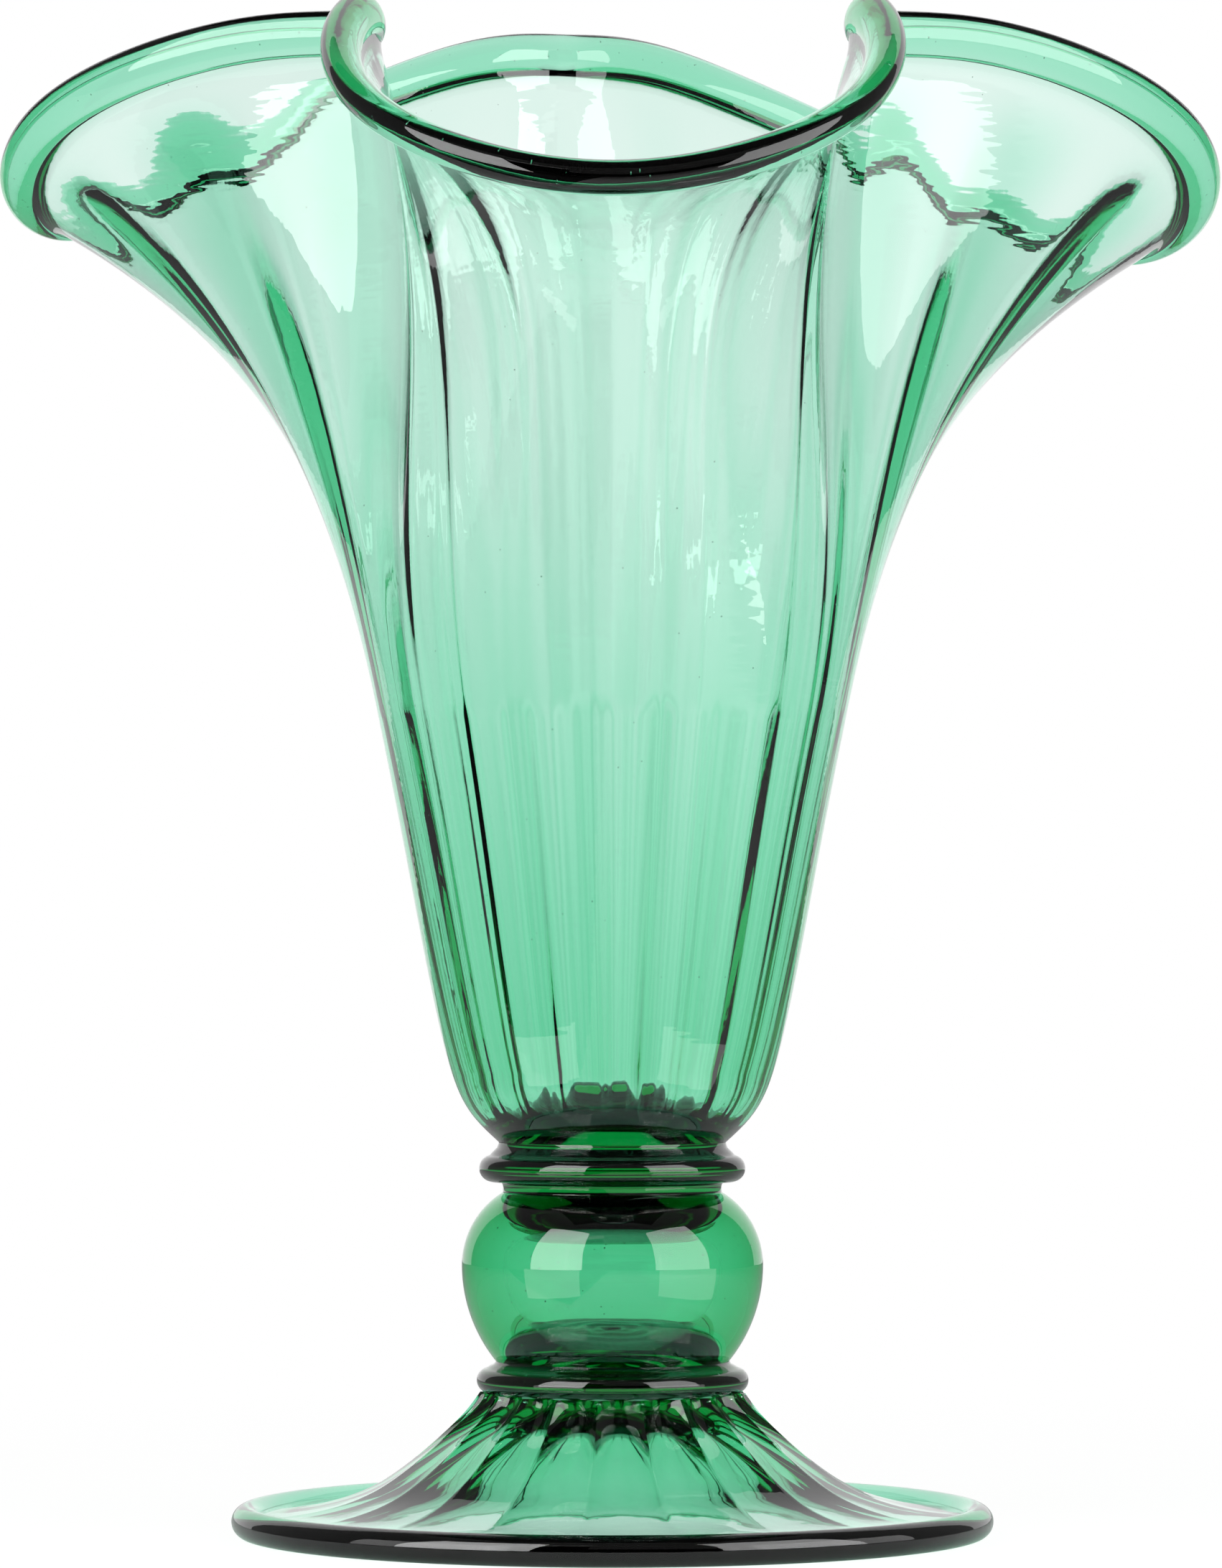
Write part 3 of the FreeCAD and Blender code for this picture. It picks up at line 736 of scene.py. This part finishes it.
def foot():
    shell = Shell()
    shares = np.array(FOOT_SHARES)
    runs = np.hypot(np.diff(shares[:, 0]), np.diff(shares[:, 1]) * DROP_WEIGHT)
    steps = np.concatenate([[0], np.cumsum(runs)])
    rows = spline(steps, shares, np.linspace(0, steps[-1], FOOT_ROWS))
    underside, top = WRAP_MIDDLE - BRIM_THICKNESS / 2, WRAP_MIDDLE + BRIM_THICKNESS / 2
    radius = FOOT_NECK + rows[:, 0] * (FOOT_BRIM - FOOT_NECK)
    height = FOOT_HEIGHT - rows[:, 1] * (FOOT_HEIGHT - top)
    slope = unit(np.stack([np.gradient(radius), np.gradient(height)], axis=-1))
    scallop = np.abs(np.sin(np.radians(BEARINGS - RIB_BEARING) * RIBS / 2)) ** FLUTE_SHARPNESS
    outside = [level_ring(FOOT_NECK - FLUTE_DEPTH * scallop, FOOT_HEIGHT)]
    for r, z, (run, fall), share in list(zip(radius, height, slope, rows[:, 2]))[1:]:
        sunk = (FLUTE_DEPTH * max(share, 0) * scallop)[:, None]
        outside.append(level_ring(r, z) + OUT * sunk * fall - UP * sunk * run)
    outer = [shell.ring(ring) for ring in outside]
    contact = shell.ring(level_ring(CONTACT_RADIUS, FOOT_HEIGHT - SEAM_GAP))
    shell.band(outer[0], contact)
    shell.fan(contact, shell.centre((0, 0, FOOT_HEIGHT - SEAM_GAP)), True, seam=True)
    shell.skin(outer[::-1])
    hollow = np.array(HOLLOW_SHARES)
    outs = spline(np.arange(len(hollow)), hollow, np.linspace(0, len(hollow) - 1, HOLLOW_ROWS))
    roof, edge = FOOT_HEIGHT - CORE_THICKNESS, FOOT_BRIM - FOOT_WALL
    inner = [
        shell.ring(level_ring(edge * out, roof - (roof - underside) * down))
        for out, down in outs[1:]
    ]
    shell.skin(inner)
    shell.fan(inner[0], shell.centre((0, 0, roof)), False)
    lowest = shell.ring(level_ring(FOOT_BRIM - SEAM_GAP, underside))
    shell.band(inner[-1], lowest)
    shell.band(lowest, outer[-1], seam=True)
    for bearing in RIB_BEARING + np.arange(RIBS) * 360.0 / RIBS:
        crest = outward(bearing) * (FOOT_NECK - 0.9) + UP * (FOOT_HEIGHT - 0.8)
        shell.bubble(crest, 0.22, outward(bearing + 90) * 0.7)
    shell.build("foot_blown", "foot", foot_glass)


def foot_wrap():
    """The rod round the foot's edge. It is as uneven as the lip, so it has the lip's surface."""
    shell = Shell()
    half = BRIM_THICKNESS / 2
    middle = FOOT_BRIM + math.sqrt(WRAP_RADIUS**2 - half**2)
    start = math.atan2(half, FOOT_BRIM - middle)
    rings = []
    for turned in np.linspace(start, -start, WRAP_ROWS):
        height = max(WRAP_MIDDLE + WRAP_RADIUS * math.sin(turned), 0.0)
        rings.append(shell.ring(level_ring(middle + WRAP_RADIUS * math.cos(turned), height)))
    shell.skin(rings[::-1])
    shell.band(rings[0], rings[-1], seam=True)
    shell.build("foot_rod", "foot_wrap", lip_glass)


bowl()
lip()
disc(
    "upper_bead",
    "upper_disc",
    base=66.2,
    low_hub=21.2,
    drop=2.0,
    radius=25.8,
    thickness=5.2,
    top_hub=22.0,
    rise=2.4,
    seed=8,
)
ball()
disc(
    "lower_bead",
    "lower_disc",
    base=27.4,
    low_hub=0,
    drop=0,
    radius=26.3,
    thickness=4.8,
    top_hub=22.6,
    rise=1.3,
    seed=9,
)
foot()
foot_wrap()


# Studio, in metres

def seen(tree):
    """1 for what the camera, a reflection or the glass sees, and 0 for light on a surface."""
    path = tree.nodes.new("ShaderNodeLightPath")
    sight = maths(tree, "ADD", path.outputs["Is Camera Ray"], path.outputs["Is Glossy Ray"])
    return maths(tree, "ADD", sight, path.outputs["Is Transmission Ray"])


def white_room():
    backdrop = bpy.data.worlds.new("white_room")
    bpy.context.scene.world = backdrop
    backdrop.use_nodes = True
    tree = backdrop.node_tree
    tree.nodes.clear()
    output = tree.nodes.new("ShaderNodeOutputWorld")
    dim = node_of(tree, "ShaderNodeBackground", Color=(1, 1, 1, 1), Strength=0.5)
    bright = node_of(tree, "ShaderNodeBackground", Color=(1, 1, 1, 1), Strength=1.0)
    sky = mix_of(tree, seen(tree), dim.outputs["Background"], bright.outputs["Background"])
    tree.links.new(sky, output.inputs["Surface"])


def pale_floor():
    """A matt white that is seen as an even white, but for a little shade near the vase."""
    material, tree, output = new_material("pale_floor")
    matt = node_of(tree, "ShaderNodeBsdfDiffuse", Color=(0.9, 0.9, 0.9, 1))
    bright = node_of(tree, "ShaderNodeEmission", Color=(1, 1, 1, 1), Strength=1.0)
    place = tree.nodes.new("ShaderNodeTexCoord")
    away = tree.nodes.new("ShaderNodeVectorMath")
    away.operation = "LENGTH"
    tree.links.new(place.outputs["Object"], away.inputs[0])
    fade = tree.nodes.new("ShaderNodeMapRange")
    fade.interpolation_type = "SMOOTHSTEP"
    for name, value in (("From Min", 0.1), ("From Max", 0.45), ("To Min", 0.94), ("To Max", 1.0)):
        fade.inputs[name].default_value = value
    tree.links.new(away.outputs["Value"], fade.inputs["Value"])
    share = maths(tree, "MULTIPLY", seen(tree), fade.outputs["Result"])
    lit = mix_of(tree, share, matt.outputs["BSDF"], bright.outputs["Emission"])
    tree.links.new(lit, output.inputs["Surface"])
    return material


def grey_card(name, grey):
    material = bpy.data.materials.new(name)
    material.use_nodes = True
    surface = material.node_tree.nodes["Principled BSDF"]
    surface.inputs["Base Color"].default_value = (grey, grey, grey, 1)
    surface.inputs["Roughness"].default_value = 1.0
    return material


def card(name, size, location, aim, material):
    """A flat sheet that faces a point."""
    mesh = bpy.data.meshes.new(name)
    wide, high = size[0] / 2, size[1] / 2
    corners = [(-wide, -high, 0), (wide, -high, 0), (wide, high, 0), (-wide, high, 0)]
    mesh.from_pydata(corners, [], [(0, 1, 2, 3)])
    mesh.materials.append(material)
    sheet = bpy.data.objects.new(name, mesh)
    bpy.context.scene.collection.objects.link(sheet)
    sheet.location = location
    sheet.rotation_mode = "QUATERNION"
    sheet.rotation_quaternion = (Vector(aim) - Vector(location)).to_track_quat("Z", "Y")
    return sheet


def softbox(name, size, location, power):
    """A lamp that faces the vase's axis. It lights the glass and shows in its reflections."""
    light = bpy.data.lights.new(name, "AREA")
    light.shape = "RECTANGLE"
    light.size, light.size_y = size
    light.energy = power
    lamp = bpy.data.objects.new(name, light)
    bpy.context.scene.collection.objects.link(lamp)
    lamp.location = location
    lamp.rotation_mode = "QUATERNION"
    aim = Vector((0, 0, location[2]))
    lamp.rotation_quaternion = (Vector(location) - aim).to_track_quat("Z", "Y")
    lamp.visible_camera = lamp.visible_transmission = False


white_room()
card("floor", (6, 6), (0, 0, -0.0005), (0, 0, 1), pale_floor())

black = grey_card("dark_card", 0.02)
dim_wall = grey_card("dim_wall", 0.3)
dim_floor = grey_card("dim_floor", 0.5)
# Name, size, place, aim, material, and whether it shows through the glass too.
# The others show in reflections only, and none is in the picture or casts a shade.
CARDS = [
    ("dark_front_left", (0.96, 1.6), (-0.72, -1.7, 0.75), (-0.72, 0, 0.75), black, True),
    ("dark_front_right", (1.44, 0.7), (0.48, -1.7, 0.3), (0.48, 0, 0.3), black, True),
    ("dark_table", (2.4, 1.4), (-1.26, -0.8, 0.001), (-1.26, -0.8, 1), black, True),
    ("dark_roof", (0.8, 0.8), (0, 0, 0.9), (0, 0, 0), black, True),
    ("dark_left_wall", (3.1, 1.8), (-1.3, -0.15, 0.9), (0, -0.15, 0.9), dim_wall, False),
    ("dark_right_wall", (3.1, 1.8), (1.3, -0.15, 0.9), (0, -0.15, 0.9), dim_wall, False),
    ("dark_front_high", (1.54, 1.15), (0.53, -1.72, 1.225), (0.53, 0, 1.225), dim_wall, False),
    ("dark_ceiling", (2.6, 3.1), (0, -0.15, 1.8), (0, -0.15, 0), dim_wall, False),
    ("dim_table", (2.6, 3.1), (0, -0.15, -0.0002), (0, -0.15, 1), dim_floor, False),
]
for name, size, location, aim, material, through in CARDS:
    sheet = card(name, size, location, aim, material)
    sheet.visible_camera = sheet.visible_diffuse = sheet.visible_shadow = False
    sheet.visible_transmission = through

softbox("left_window", (0.46, 0.72), (-0.43, -0.45, 0.4), 6.5)
softbox("right_window", (0.53, 0.72), (0.51, -0.36, 0.4), 5.2)
softbox("left_table", (0.097, 0.044), (-0.0895, -0.0943, 0.028), 0.025)
softbox("right_table", (0.11, 0.044), (0.1065, -0.0746, 0.028), 0.025)


# Camera, as fitted to the photograph

CAMERA_PLACE = (-0.00028, -1.2825, 0.1101)
CAMERA_AIM = (-0.00028, 0.0, 0.1453)
PHOTO_HEIGHT = 2184
FOCAL_PIXELS = 9200
SENSOR = 36.0

lens = bpy.data.cameras.new("camera")
lens.sensor_fit = "AUTO"
lens.sensor_width = SENSOR
lens.lens = FOCAL_PIXELS * SENSOR / PHOTO_HEIGHT
camera = bpy.data.objects.new("camera", lens)
bpy.context.scene.collection.objects.link(camera)
camera.location = CAMERA_PLACE
camera.rotation_mode = "QUATERNION"
camera.rotation_quaternion = (Vector(CAMERA_AIM) - Vector(CAMERA_PLACE)).to_track_quat("-Z", "Y")
bpy.context.scene.camera = camera
bpy.context.scene.view_settings.view_transform = "Standard"
